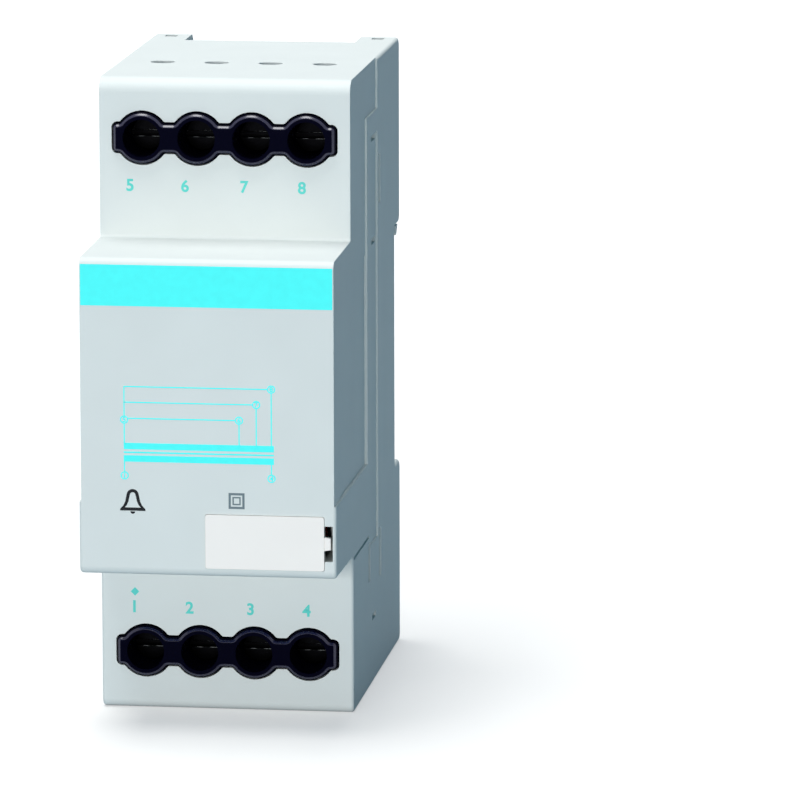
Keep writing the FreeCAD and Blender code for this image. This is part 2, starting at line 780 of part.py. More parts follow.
def all_parts():
    parts = {
        "base_housing": base_housing(),
        "front_cover": front_cover(),
        "label_plate": label_plate(),
        "upper_terminal_block": terminal_block(1),
        "lower_terminal_block": terminal_block(-1),
        "core_e_stack": core_e_stack(),
        "core_i_stack": core_i_stack(),
        "coil_bobbin": coil_bobbin(),
        "primary_winding": winding(-1),
        "secondary_winding": winding(1),
        "primary_tape": winding_tape(-1),
        "secondary_tape": winding_tape(1),
        "secondary_leads": secondary_leads(),
        "primary_leads": primary_leads(),
        "thermal_fuse": thermal_fuse(),
        "rail_latch": rail_latch(),
        "latch_spring": latch_spring(),
    }
    for end, first_number in ((-1, 1), (1, 1 + terminal_count)):
        for i, x in enumerate(terminal_places):
            number = first_number + i
            parts[f"terminal_screw_{number}"] = terminal_screw(x, end)
            parts[f"clamp_cage_{number}"] = clamp_cage(x, end)
            parts[f"contact_{number}"] = contact(x, end)
    return parts


os.makedirs("parts", exist_ok=True)
for name, shape in all_parts().items():
    shape.exportStep(os.path.join("parts", name + ".step"))
    print(name, shape.ShapeType, len(shape.Solids), shape.isValid(), round(shape.Volume, 2))
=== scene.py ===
import json
import math

import bmesh
import bpy
from mathutils import Matrix, Vector


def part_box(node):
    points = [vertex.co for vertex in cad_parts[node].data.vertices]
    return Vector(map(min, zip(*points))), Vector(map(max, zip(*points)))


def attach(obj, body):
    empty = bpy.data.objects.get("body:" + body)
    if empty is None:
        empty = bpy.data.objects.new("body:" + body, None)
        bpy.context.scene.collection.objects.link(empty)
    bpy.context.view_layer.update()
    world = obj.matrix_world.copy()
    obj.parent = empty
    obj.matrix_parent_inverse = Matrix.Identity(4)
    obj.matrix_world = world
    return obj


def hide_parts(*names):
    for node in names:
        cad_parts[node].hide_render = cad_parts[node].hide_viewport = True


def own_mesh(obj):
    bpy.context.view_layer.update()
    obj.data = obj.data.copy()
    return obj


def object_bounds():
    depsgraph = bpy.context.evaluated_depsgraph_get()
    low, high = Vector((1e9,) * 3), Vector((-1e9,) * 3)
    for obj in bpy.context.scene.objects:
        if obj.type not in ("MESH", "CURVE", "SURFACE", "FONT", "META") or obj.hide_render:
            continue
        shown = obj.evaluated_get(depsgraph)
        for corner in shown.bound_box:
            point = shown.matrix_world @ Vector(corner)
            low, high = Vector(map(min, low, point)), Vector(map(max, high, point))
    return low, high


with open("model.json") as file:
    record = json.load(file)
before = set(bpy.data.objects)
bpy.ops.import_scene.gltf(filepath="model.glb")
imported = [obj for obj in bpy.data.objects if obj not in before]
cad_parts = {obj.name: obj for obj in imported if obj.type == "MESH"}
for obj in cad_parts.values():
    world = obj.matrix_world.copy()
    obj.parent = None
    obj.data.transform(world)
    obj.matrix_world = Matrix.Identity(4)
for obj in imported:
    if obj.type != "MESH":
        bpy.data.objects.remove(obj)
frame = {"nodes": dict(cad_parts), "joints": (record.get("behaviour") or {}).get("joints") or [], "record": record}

bl_info = {
    "name": "Bell transformer looks",
    "version": (1, 0, 0),
    "blender": (4, 5, 0),
    "location": "View3D > Sidebar > Bell transformer",
    "description": "Dresses the solids of a bell transformer with finishes and fine detail",
    "category": "Object",
}

MM = 0.001
CAD_BOX = [list(corner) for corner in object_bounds()]
HOUSING = "housing"
SCREW_COUNT = 8
ROW_COUNT = 4


# Settings

def linear(code):
    """Turn an sRGB hex colour into linear red, green and blue."""
    channels = [int(code[i:i + 2], 16) / 255 for i in (1, 3, 5)]
    return tuple(c / 12.92 if c <= 0.04045 else ((c + 0.055) / 1.055) ** 2.4 for c in channels)


def colour(label, code, about):
    """A colour that a user may change."""
    return bpy.props.FloatVectorProperty(name=label, description=about, size=3, min=0, max=1,
                                         default=linear(code), subtype="COLOR")


def length(label, millimetres, about):
    """A length that a user may change."""
    return bpy.props.FloatProperty(name=label, description=about, default=millimetres * MM,
                                   unit="LENGTH", subtype="DISTANCE")


def turn(label, degrees, about):
    """An angle that a user may change."""
    return bpy.props.FloatProperty(name=label, description=about, default=math.radians(degrees),
                                   unit="ROTATION", subtype="ANGLE")


def power(label, watts, about):
    """A lamp power that a user may change."""
    return bpy.props.FloatProperty(name=label, description=about, default=watts, min=0,
                                   unit="POWER")


def strength(label, amount, about):
    """A plain strength that a user may change."""
    return bpy.props.FloatProperty(name=label, description=about, default=amount, min=0, max=2)


class TransformerColours(bpy.types.PropertyGroup):
    """Colours of the finishes"""
    housing: colour("Housing", "#D6D9D5", "Light grey of both shells")
    label: colour("Label plate", "#F0E9E2", "White of the label plate")
    block: colour("Terminal block", "#040413", "Blue-black of the terminal blocks")
    # The rims' colour is lighter than the block's: a painted highlight on the bevels.
    block_edge: colour("Block edge", "#0E0E2E", "Burnished rims of the terminal blocks")
    ink: colour("Turquoise ink", "#54F5EF", "Band and diagram")
    number_ink: colour("Sea-green ink", "#62CDC2", "Terminal numbers")
    dark_ink: colour("Black ink", "#16181C", "Bell")
    grey_ink: colour("Grey ink", "#6F7C80", "Nested squares")
    # The screws are near-black partly for their black finish and partly as painted shade of the deep wells.
    screw: colour("Screws", "#0C0C0E", "Black passivated screws")
    # Bare steel on the slot edges: partly wear, partly painted glints.
    bare_steel: colour("Bare steel", "#8C9092", "Worn edges of the screw slots")
    zinc: colour("Zinc plating", "#B9BBBA", "Clamp cages")
    brass: colour("Brass", "#C9A95E", "Contact strips")
    core: colour("Core steel", "#6B6E72", "Edges of the laminations")
    copper: colour("Enamelled copper", "#A4552B", "Windings")
    tape: colour("Winding tape", "#D9B93A", "Polyester tape")
    bobbin: colour("Bobbin", "#24262A", "Glass-filled nylon")
    lead: colour("Lead insulation", "#B3261E", "Lead insulation")
    can: colour("Fuse can", "#C4C4C0", "Drawn aluminium")
    latch: colour("Latch", "#BFC7C9", "Grey acetal of the rail latch")
    spring: colour("Spring", "#8F9194", "Spring steel")


class TransformerPrint(bpy.types.PropertyGroup):
    """Sizes of the print on the front"""
    film: length("Ink film", 0.02, "How far print stands off the plastic")
    band_low: length("Band foot", 15.6, "Lower edge of the band above the middle of the nose")
    band_high: length("Band head", 21.35, "Upper edge of the band above the middle of the nose")
    band_margin: length("Band margin", 0.45, "Bare plastic between the band and the nose's sides")
    thin_line: length("Thin line", 0.16, "Width of the diagram's lines")
    bar: length("Core bar", 0.9, "Width of the two core bars in the diagram")
    node: length("Terminal ring", 0.58, "Radius of the terminal rings in the diagram")
    digit: length("Digit height", 1.75, "Height of the terminal numbers")


class TransformerForms(bpy.types.PropertyGroup):
    """Sizes of the fine forms"""
    rim: length("Rim bevel", 0.42, "Bevel along the front edge of a terminal block")
    rim_soft: length("Rim softness", 0.15, "Rounding at both edges of that bevel")
    well_edge: length("Well rounding", 0.25, "Rounding at the mouth of a screw well")
    mouth_edge: length("Mouth rounding", 0.12, "Rounding at the mouth of a conductor opening")
    skin: length("Skin", 0.02, "How far the moulded front of a terminal block covers its solid")
    front_depth: length("Front depth", 1.4, "How far that front reaches behind the shoulder")
    thread_pitch: length("Thread pitch", 0.6, "Pitch of the terminal screws")
    thread_depth: length("Thread depth", 0.32, "Depth of the thread")
    shank: length("Shank radius", 1.75, "Radius over the thread of a terminal screw")
    head_edge: length("Head rounding", 0.3, "Rounding of a screw head")
    slot_width: length("Slot width", 0.8, "Width of the screwdriver slot")
    slot_depth: length("Slot depth", 1.2, "Depth of the screwdriver slot")
    slot_edge: length("Slot edge", 0.1, "How far the edges of the slot are broken")
    spring_wire: length("Spring wire", 0.22, "Radius of the latch spring's wire")
    spring_turns: bpy.props.IntProperty(name="Spring turns", default=7, min=3, max=12,
                                        description="Turns of the latch spring")


class TransformerStage(bpy.types.PropertyGroup):
    """Camera and light"""
    azimuth: turn("Azimuth", 7.546, "How far the camera stands to the right of the front")
    elevation: turn("Elevation", 10.288, "How far the camera stands above the middle")
    roll: turn("Roll", -0.096, "Tilt of the picture")
    distance: length("Distance", 950.0, "From the camera to the housing")
    aside: length("Aside", 22.527, "How far the camera moves to its right")
    down: length("Down", 2.928, "How far the camera moves down")
    aim_depth: length("Aim depth", 30.0, "Depth of the point that the distance counts from")
    lens: bpy.props.FloatProperty(name="Lens", default=299.99, unit="CAMERA",
                                  description="Focal length on a 36 mm sensor")
    front_light: power("Front light", 23.4, "Power of the large soft lamp in front")
    top_light: power("Top light", 25.0, "Power of the large soft lamp above")
    back_light: power("Back light", 8.0, "Power of the small soft lamp behind")
    room: colour("Room light", "#215B75", "Dim blue-grey light from all round")
    backdrop: colour("Backdrop", "#FFFFFF", "What shows behind the object and in reflections")
    floor: colour("Floor", "#BBB9B6", "Matt card under the object")
    floor_bounce: colour("Floor bounce", "#6C8998", "Light that the card throws on the object")
    near_glow: strength("Near glow", 0.48, "How far the card is lifted to white by the object")
    far_glow: strength("Far glow", 0.75, "How far the card is lifted to white further off")


def settings():
    return bpy.context.scene.bell_transformer


# Materials

# Blender's wave texture repeats after this length over its scale.
WAVE_REPEAT = math.pi / 10
# Most of a noise pattern lies between these values.
NOISE_SPAN = (0.3, 0.7)


def add_node(tree, kind, inputs=None, **options):
    """Add a node, set its options, and set or link its inputs."""
    node = tree.nodes.new(kind)
    for name, value in options.items():
        setattr(node, name, value)
    for socket, value in (inputs or {}).items():
        if isinstance(value, bpy.types.NodeSocket):
            tree.links.new(value, node.inputs[socket])
        else:
            node.inputs[socket].default_value = value
    return node


def new_material(name, base, roughness, metallic=0.0, specular=0.5, **sockets):
    """A material with one shader whose plain values are set on its own sockets."""
    material = bpy.data.materials.new(name)
    material.use_nodes = True
    shader = material.node_tree.nodes["Principled BSDF"]
    values = {"Base Color": (*base, 1), "Roughness": roughness, "Metallic": metallic,
              "Specular IOR Level": specular, **sockets}
    for socket, value in values.items():
        shader.inputs[socket].default_value = value
    return material, material.node_tree, shader


def grain(tree, shader, size, height, detail=4.0):
    """Fine bumps about one size across, in metres, and a quarter as deep. Returns the pattern."""
    place = add_node(tree, "ShaderNodeTexCoord")
    noise = add_node(tree, "ShaderNodeTexNoise",
                     {"Vector": place.outputs["Object"], "Scale": 1 / size, "Detail": detail,
                      "Roughness": 0.55})
    bump = add_node(tree, "ShaderNodeBump",
                    {"Height": noise.outputs["Fac"], "Strength": height, "Distance": size / 4})
    tree.links.new(bump.outputs["Normal"], shader.inputs["Normal"])
    return noise.outputs["Fac"]


def ridges(tree, shader, axis, pitch, height, depth, waver=0.0):
    """Ridges one pitch apart along an axis, in metres. Returns the pattern."""
    place = add_node(tree, "ShaderNodeTexCoord")
    wave = add_node(tree, "ShaderNodeTexWave",
                    {"Vector": place.outputs["Object"], "Distortion": waver,
                     "Scale": WAVE_REPEAT / pitch}, bands_direction=axis)
    bump = add_node(tree, "ShaderNodeBump",
                    {"Height": wave.outputs["Fac"], "Strength": height, "Distance": depth})
    tree.links.new(bump.outputs["Normal"], shader.inputs["Normal"])
    return wave.outputs["Fac"]


def streaks(tree, width, stretch):
    """Pattern of streaks of one width, in metres, drawn out along Z."""
    place = add_node(tree, "ShaderNodeTexCoord")
    drawn = add_node(tree, "ShaderNodeMapping",
                     {"Vector": place.outputs["Object"], "Scale": (1, 1, stretch)})
    lines = add_node(tree, "ShaderNodeTexNoise",
                     {"Vector": drawn.outputs["Vector"], "Scale": 1 / width})
    return lines.outputs["Fac"]


def vary_roughness(tree, shader, pattern, low, high):
    """Let a pattern swing the roughness between two values."""
    rough = add_node(tree, "ShaderNodeMapRange",
                     {"Value": pattern, "To Min": low, "To Max": high})
    tree.links.new(rough.outputs["Result"], shader.inputs["Roughness"])


def vary_shade(tree, shader, base, pattern, low, high, span=(0.0, 1.0)):
    """Let a pattern swing the colour between two strengths."""
    shade = add_node(tree, "ShaderNodeMapRange",
                     {"Value": pattern, "From Min": span[0], "From Max": span[1],
                      "To Min": low, "To Max": high})
    mix = add_node(tree, "ShaderNodeVectorMath", {0: base, "Scale": shade.outputs["Result"]},
                   operation="SCALE")
    tree.links.new(mix.outputs["Vector"], shader.inputs["Base Color"])


def mottle(tree, shader, base, size, amount):
    """Vary the colour a little over patches of one size, in metres."""
    place = add_node(tree, "ShaderNodeTexCoord")
    noise = add_node(tree, "ShaderNodeTexNoise",
                     {"Vector": place.outputs["Object"], "Scale": 1 / size, "Detail": 2.0})
    vary_shade(tree, shader, base, noise.outputs["Fac"], 1 - amount, 1 + amount, NOISE_SPAN)


def moulded_abs_matt_grey():
    # Spark-eroded mould: a dead matt, even grey. Its pits trap most of the gloss.
    base = settings().colours.housing
    material, tree, shader = new_material("moulded_abs_matt_grey", base, 0.55, specular=0.06,
                                          IOR=1.53)
    # The real erosion pits are about 0.05 mm across. They are drawn at 0.3 mm so that they show.
    pits = grain(tree, shader, 0.3 * MM, 0.10)
    mottle(tree, shader, base, 9 * MM, 0.012)
    vary_roughness(tree, shader, pits, 0.5, 0.62)
    return material


def moulded_abs_satin_white():
    # Polished mould: a smooth white with a soft sheen.
    base = settings().colours.label
    material, tree, shader = new_material("moulded_abs_satin_white", base, 0.30, specular=0.25,
                                          IOR=1.53)
    grain(tree, shader, 0.6 * MM, 0.03)
    mottle(tree, shader, base, 5 * MM, 0.006)
    return material


def moulded_polyamide_black():
    # Fine mould and a dark filled polymer: deep blue-black, almost without gloss on its faces.
    base = settings().colours.block
    material, tree, shader = new_material("moulded_polyamide_black", base, 0.16, specular=0.012,
                                          IOR=1.53)
    bumps = grain(tree, shader, 0.9 * MM, 0.04, 2.0)
    vary_roughness(tree, shader, bumps, 0.12, 0.2)
    return material


def burnished_polyamide_black():
    # The same polymer, lighter and glossier on the inner part of the rim's bevel: a painted highlight where the
    # rim catches the light from above. Violet-black, with highlights.
    base = settings().colours.block_edge
    material, tree, shader = new_material("burnished_polyamide_black", base, 0.26, IOR=1.53)
    bumps = grain(tree, shader, 0.7 * MM, 0.05, 2.0)
    vary_roughness(tree, shader, bumps, 0.22, 0.32)
    return material


def black_passivated_turned_steel():
    # Turned, plated and passivated black, and darkened further as painted shade of the deep wells: a dark metal
    # that only glints along its edges.
    base = settings().colours.screw
    material, tree, shader = new_material("black_passivated_turned_steel", base, 0.32, 1.0)
    bumps = grain(tree, shader, 0.25 * MM, 0.15)
    vary_roughness(tree, shader, bumps, 0.22, 0.42)
    return material


def worn_turned_steel():
    # Specks of bare grey steel along the slot, broken into patches: partly passivation rubbed off by the
    # screwdriver, partly painted glints.
    base = settings().colours.bare_steel
    material, tree, shader = new_material("worn_turned_steel", base, 0.3, 1.0)
    wear_and_glint_patches = grain(tree, shader, 0.9 * MM, 0.2)
    vary_shade(tree, shader, base, wear_and_glint_patches, 0.02, 1.0, (0.48, 0.58))
    return material


def zinc_plated_stamped_steel():
    # Stamped and barrel-plated: dull pale metal with faint cloudy spangle.
    base = settings().colours.zinc
    material, tree, shader = new_material("zinc_plated_stamped_steel", base, 0.4, 1.0)
    grain(tree, shader, 0.5 * MM, 0.12)
    mottle(tree, shader, base, 1.6 * MM, 0.12)
    return material


def stamped_brass():
    # Rolled strip cut by a die: warm yellow metal with rolling lines along its length.
    material, tree, shader = new_material("stamped_brass", settings().colours.brass, 0.3, 1.0)
    vary_roughness(tree, shader, streaks(tree, 0.2 * MM, 0.05), 0.22, 0.4)
    return material


def varnished_laminated_steel():
    # A pile of 0.5 mm sheets dipped in varnish: dark grey, lined between sheets, dully glossy.
    base = settings().colours.core
    material, tree, shader = new_material("varnished_laminated_steel", base, 0.45, 1.0)
    shader.inputs["Coat Weight"].default_value = 0.4
    sheets = ridges(tree, shader, "X", 0.5 * MM, 0.6, 0.1 * MM)
    vary_shade(tree, shader, base, sheets, 0.55, 1.0)
    return material


def enamelled_copper_wound():
    # Layers of 0.3 mm enamelled wire: glossy red-brown ridges that run round the coil.
    base = settings().colours.copper
    material, tree, shader = new_material("enamelled_copper_wound", base, 0.25, 1.0)
    shader.inputs["Coat Weight"].default_value = 0.6
    wires = ridges(tree, shader, "Z", 0.3 * MM, 0.8, 0.15 * MM, 0.4)
    # The colour is darker where the pattern is low, in the grooves between the turns: painted shade.
    vary_shade(tree, shader, base, wires, 0.6, 1.0)
    return material


def polyester_tape_wrapped():
    # Thin film pulled tight over wire: yellow, glossy, with faint ripples from the turns below.
    base = settings().colours.tape
    material, tree, shader = new_material("polyester_tape_wrapped", base, 0.2, IOR=1.58)
    ripples = ridges(tree, shader, "Z", 0.6 * MM, 0.25, 0.1 * MM, 2.0)
    # The colour is a little darker in the troughs of the ripples: painted shade.
    vary_shade(tree, shader, base, ripples, 0.94, 1.0)
    return material


def moulded_nylon_glass_filled():
    # Glass fibres near the skin: near-black with a dry, slightly streaky matt.
    base = settings().colours.bobbin
    material, tree, shader = new_material("moulded_nylon_glass_filled", base, 0.55, IOR=1.53)
    grain(tree, shader, 0.4 * MM, 0.2)
    mottle(tree, shader, base, 1.5 * MM, 0.15)
    return material


def extruded_pvc_red():
    # Extruded insulation: smooth, waxy red.
    base = settings().colours.lead
    material, tree, shader = new_material("extruded_pvc_red", base, 0.35, IOR=1.53)
    grain(tree, shader, 1.0 * MM, 0.05, 1.0)
    mottle(tree, shader, base, 3 * MM, 0.04)
    return material


def drawn_aluminium_can():
    # Deep-drawn can: pale metal with fine drawing lines along its length.
    material, tree, shader = new_material("drawn_aluminium_can", settings().colours.can, 0.3, 1.0)
    vary_roughness(tree, shader, streaks(tree, 0.25 * MM, 0.04), 0.22, 0.42)
    return material


def moulded_acetal_grey():
    # Acetal from a fine mould: slightly darker grey than the housing, smooth and a little waxy.
    base = settings().colours.latch
    material, tree, shader = new_material("moulded_acetal_grey", base, 0.36, IOR=1.48)
    grain(tree, shader, 0.35 * MM, 0.08)
    mottle(tree, shader, base, 6 * MM, 0.015)
    return material


def drawn_spring_steel():
    # Drawn and oil-tempered wire: dark bright metal with marks of the die.
    base = settings().colours.spring
    material, tree, shader = new_material("drawn_spring_steel", base, 0.3, 1.0)
    grain(tree, shader, 0.15 * MM, 0.1)
    mottle(tree, shader, base, 1.0 * MM, 0.08)
    return material


def pad_printed_ink(name, base):
    # A film of pad-printing ink: flat, strong colour with a slight sheen and a faintly uneven film.
    material, tree, shader = new_material(f"pad_printed_ink_{name}", base, 0.4, specular=0.2,
                                          IOR=1.5)
    grain(tree, shader, 0.4 * MM, 0.04)
    mottle(tree, shader, base, 1.2 * MM, 0.02)
    return material


def dress(material, *nodes):
    """Give solids of the frame a better material through their slots."""
    for name in nodes:
        slots = frame["nodes"][name].data.materials
        slots.clear()
        slots.append(material)


# Meshes

def linked_object(name, data):
    piece = bpy.data.objects.new(name, data)
    bpy.context.scene.collection.objects.link(piece)
    return piece


def smooth_object(name, mesh, *materials, sharp_angle=35):
    """Link a mesh as an object, smooth apart from edges that turn by more degrees than given."""
    for material in materials:
        mesh.materials.append(material)
    for polygon in mesh.polygons:
        polygon.use_smooth = True
    mesh.set_sharp_from_angle(angle=math.radians(sharp_angle))
    return linked_object(name, mesh)


def finished_mesh(name, work):
    """Close a working mesh into mesh data with all its faces turned outwards."""
    bmesh.ops.recalc_face_normals(work, faces=work.faces)
    mesh = bpy.data.meshes.new(name)
    work.to_mesh(mesh)
    work.free()
    return mesh


def evaluated_mesh(piece):
    """The mesh of an object as its settings and modifiers leave it."""
    bpy.context.view_layer.update()
    graph = bpy.context.evaluated_depsgraph_get()
    return bpy.data.meshes.new_from_object(piece.evaluated_get(graph))


def ring_of_verts(work, points):
    return [work.verts.new(point) for point in points]


def ring_edges(work, ring):
    return [work.edges.get((ring[i - 1], ring[i])) for i in range(len(ring))]


def bridge(work, first, second, finish=0):
    """Join two closed rings of the same count by four-sided faces of one finish."""
    count = len(first)
    for i in range(count):
        j = (i + 1) % count
        face = work.faces.new((first[i], first[j], second[j], second[i]))
        face.material_index = finish


def tube(work, rings, capped=False):
    """Join each ring to the next, and close both ends if asked."""
    for first, second in zip(rings, rings[1:]):
        bridge(work, first, second)
    if capped:
        work.faces.new(rings[0])
        work.faces.new(rings[-1])


def arc(centre, radius, start, end, steps):
    """Points along an arc in a plane, angles in degrees, both ends included."""
    angles = [math.radians(start + (end - start) * i / steps) for i in range(steps + 1)]
    return [(centre[0] + radius * math.cos(a), centre[1] + radius * math.sin(a)) for a in angles]


def circle(centre, radius, steps):
    return arc(centre, radius, 0, 360 - 360 / steps, steps - 1)


# Print

# Points of print closer than this, in millimetres, become one.
WELD = 0.0005
# How far digits are fattened, as a share of their height
DIGIT_BOLDNESS = 0.03


def rectangle(x0, x1, z0, z1):
    return [(x0, z0), (x1, z0), (x1, z1), (x0, z1)]


def drawn_mesh(curve):
    """Turn a flat filled curve into a film of ink that faces -Y, with its middle at y = 0."""
    curve.dimensions = "2D"
    curve.fill_mode = "BOTH"
    curve.extrude = settings().print_sizes.film / 2
    drawn = linked_object("drawing", curve)
    mesh = evaluated_mesh(drawn)
    bpy.data.objects.remove(drawn)
    bpy.data.curves.remove(curve)
    mesh.transform(Matrix.Rotation(math.pi / 2, 4, "X"))
    return mesh


def outlined(*outlines):
    """Film of ink inside an outline, less the outlines inside it."""
    curve = bpy.data.curves.new("outline", "CURVE")
    for outline in outlines:
        spline = curve.splines.new("POLY")
        spline.points.add(len(outline) - 1)
        for point, (x, z) in zip(spline.points, outline):
            point.co = (x, z, 0, 1)
        spline.use_cyclic_u = True
    return drawn_mesh(curve)


def digit(text, x, z, height):
    """Film of ink in the form of one number, by its middle and height."""
    curve = bpy.data.curves.new("digit", "FONT")
    curve.body = text
    curve.size = height
    curve.offset = height * DIGIT_BOLDNESS
    mesh = drawn_mesh(curve)
    xs = [v.co.x for v in mesh.vertices]
    zs = [v.co.z for v in mesh.vertices]
    scale = height / (max(zs) - min(zs))
    middle = Vector(((max(xs) + min(xs)) / 2, 0, (max(zs) + min(zs)) / 2))
    grow = Matrix.Diagonal((scale, 1, scale, 1))
    mesh.transform(Matrix.Translation((x, 0, z)) @ grow @ Matrix.Translation(-middle))
    return mesh


def printed(name, films, y_face, material):
    """Join films of ink into one piece that lies on a face of the housing."""
    work = bmesh.new()
    for film in films:
        work.from_mesh(film)
        bpy.data.meshes.remove(film)
    bmesh.ops.remove_doubles(work, verts=work.verts, dist=WELD * MM)
    y_middle = y_face - settings().print_sizes.film / 2
    bmesh.ops.translate(work, verts=work.verts, vec=(0, y_middle, 0))
    piece = smooth_object(name, finished_mesh(name, work), material)
    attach(piece, HOUSING)


# Places on the solids

# How far the terminal blocks stand proud of the shoulders, in millimetres
BLOCK_PROUD = 0.8


def shoulder_face():
    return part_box("upper_terminal_block")[0].y + BLOCK_PROUD * MM


def joint(name):
    return next(entry for entry in frame["joints"] if entry["name"] == name)


def screw_places():
    """Axis of each terminal screw, from its joint."""
    return [Vector(joint(f"screw_{i + 1}_turn")["pos_m"]) for i in range(SCREW_COUNT)]


# Pieces

class TransformerOperator:
    """What the operators share"""
    bl_options = {"REGISTER"}


# Round mouth inside an opening with cut corners: sizes in millimetres, then counts
MOUTH_HALF_WIDTH = 1.83
MOUTH_HALF_LENGTH = 1.68
MOUTH_DEPTH = 1.8
MOUTH_FLANGE = 0.4
MOUTH_SUNK = 0.005
MOUTH_SIDES = 48
MOUTH_STEPS = 6


def add_mouth(work, middle, out):
    """Add a funnel whose flange fills the corners of an opening, just below the face round it."""
    edge = settings().forms.mouth_edge / MM
    profile = [(-MOUTH_FLANGE, MOUTH_DEPTH), (-MOUTH_FLANGE, MOUTH_SUNK)]
    profile += arc((0, MOUTH_SUNK + edge), edge, 270, 360, MOUTH_STEPS)
    profile.append((edge, MOUTH_DEPTH))
    rings = []
    for inset, depth in profile:
        across = MOUTH_HALF_WIDTH - inset
        along = MOUTH_HALF_LENGTH - inset
        points = [middle + Vector((across * x, along * y, -out * depth)) * MM
                  for x, y in circle((0, 0), 1, MOUTH_SIDES)]
        rings.append(ring_of_verts(work, points))
    for i, ring in enumerate(rings):
        bridge(work, rings[i - 1], ring)


class TRANSFORMER_OT_housing(TransformerOperator, bpy.types.Operator):
    """Dress the two shells of the housing and round the mouths of the conductor openings"""
    bl_idname = "bell_transformer.housing"
    bl_label = "Housing"

    def execute(self, context):
        plastic = moulded_abs_matt_grey()
        dress(plastic, "front_cover", "base_housing")
        openings = {mount["name"]: mount["pos_m"] for mount in frame["record"]["mounts"]}
        for row, out in (("upper", 1), ("lower", -1)):
            work = bmesh.new()
            for place in screw_places()[:ROW_COUNT]:
                add_mouth(work, Vector((place.x, *openings[f"{row}_terminals"][1:])), out)
            name = f"{row}_conductor_mouths"
            mouths = smooth_object(name, finished_mesh(name, work), plastic, sharp_angle=50)
            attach(mouths, HOUSING)
        return {"FINISHED"}


class TRANSFORMER_OT_label(TransformerOperator, bpy.types.Operator):
    """Dress the label plate"""
    bl_idname = "bell_transformer.label"
    bl_label = "Label plate"

    def execute(self, context):
        dress(moulded_abs_satin_white(), "label_plate")
        return {"FINISHED"}


# Outline of a terminal row, as its solid has it, and the wall of its wells, in millimetres
LOBE_GAP = 0.275
LOBE_WALL = 0.95
WEB_RADIUS = 0.6
HALF_BAR = 2.0
BAR_CORNER = 0.6
BAR_END = 0.18
SLEEVE_WALL = 0.1
# Where the lighter, glossier part of the rim's bevel starts, as a share of its width: that part paints a highlight
RIM_SHEEN_FROM = 0.35
LOBE_STEPS = 28
WEB_STEPS = 7
RIM_STEPS = 6
WELL_STEPS = 56


def row_outline(pitch, inset):
    """Outline of a terminal row, drawn in by an inset, as (x, z) points in metres."""
    lobe = pitch / 2 - LOBE_GAP * MM
    web = WEB_RADIUS * MM
    half_bar = HALF_BAR * MM
    corner = BAR_CORNER * MM
    web_offset = math.sqrt((lobe + web) ** 2 - (half_bar + web) ** 2)
    lean = math.degrees(math.atan2(half_bar + web, web_offset))
    end = pitch * (ROW_COUNT - 1) / 2 + web_offset + BAR_END * MM
    corner_height = half_bar - corner
    upper = arc((-end, corner_height), corner - inset, 180, 90, WEB_STEPS)
    for i in range(ROW_COUNT):
        x = pitch * (i - (ROW_COUNT - 1) / 2)
        upper += arc((x - web_offset, half_bar + web), web + inset, -90, -lean, WEB_STEPS)
        upper += arc((x, 0), lobe - inset, 180 - lean, lean, LOBE_STEPS)[1:-1]
        upper += arc((x + web_offset, half_bar + web), web + inset, 180 + lean, 270, WEB_STEPS)
    upper += arc((end, corner_height), corner - inset, 90, 0, WEB_STEPS)
    return upper + [(x, -z) for x, z in reversed(upper)]


def row_front_mesh(pitch, y_front, y_back, y_floor):
    """Moulded front of a terminal row: a bevelled rim, a flat face and wells with rounded mouths.

    The inner part of the bevel has the second finish, a lighter and glossier copy of the block plastic that paints
    a highlight there."""
    forms = settings().forms
    work = bmesh.new()

    def outline_ring(inset, y):
        return ring_of_verts(work, [(x, y, z) for x, z in row_outline(pitch, inset)])

    skin = forms.skin
    soft = forms.rim_soft
    lead_in = forms.rim + soft * math.tan(math.pi / 8)
    outer = arc((soft, lead_in), soft, 180, 225, RIM_STEPS)
    inner = arc((lead_in, soft), soft, 225, 270, RIM_STEPS)
    # From here inwards the bevel takes the lighter, glossier finish, a painted highlight.
    sheen_from = [start + (end - start) * RIM_SHEEN_FROM for start, end in zip(outer[-1], inner[0])]
    back = outline_ring(-skin, y_back)
    last = back
    for number, (inset, depth) in enumerate([*outer, sheen_from, *inner]):
        here = outline_ring(inset - skin, y_front + depth)
        bridge(work, last, here, int(number > len(outer)))
        last = here
    face_edges = ring_edges(work, last)
    back_edges = ring_edges(work, back)

    well = pitch / 2 - (LOBE_GAP + LOBE_WALL) * MM - skin
    edge = forms.well_edge
    sleeve = well + SLEEVE_WALL * MM
    profile = arc((well + edge, y_front + edge), edge, 270, 180, RIM_STEPS)
    profile += [(well, y_floor), (sleeve, y_floor), (sleeve, y_back)]
    for i in range(ROW_COUNT):
        middle = (pitch * (i - (ROW_COUNT - 1) / 2), 0)
        rings = [ring_of_verts(work, [(x, y, z) for x, z in circle(middle, radius, WELL_STEPS)])
                 for radius, y in profile]
        tube(work, rings)
        face_edges += ring_edges(work, rings[0])
        back_edges += ring_edges(work, rings[-1])
    for edges in (face_edges, back_edges):
        bmesh.ops.triangle_fill(work, use_beauty=True, edges=edges)
    return finished_mesh("terminal_row_front", work)


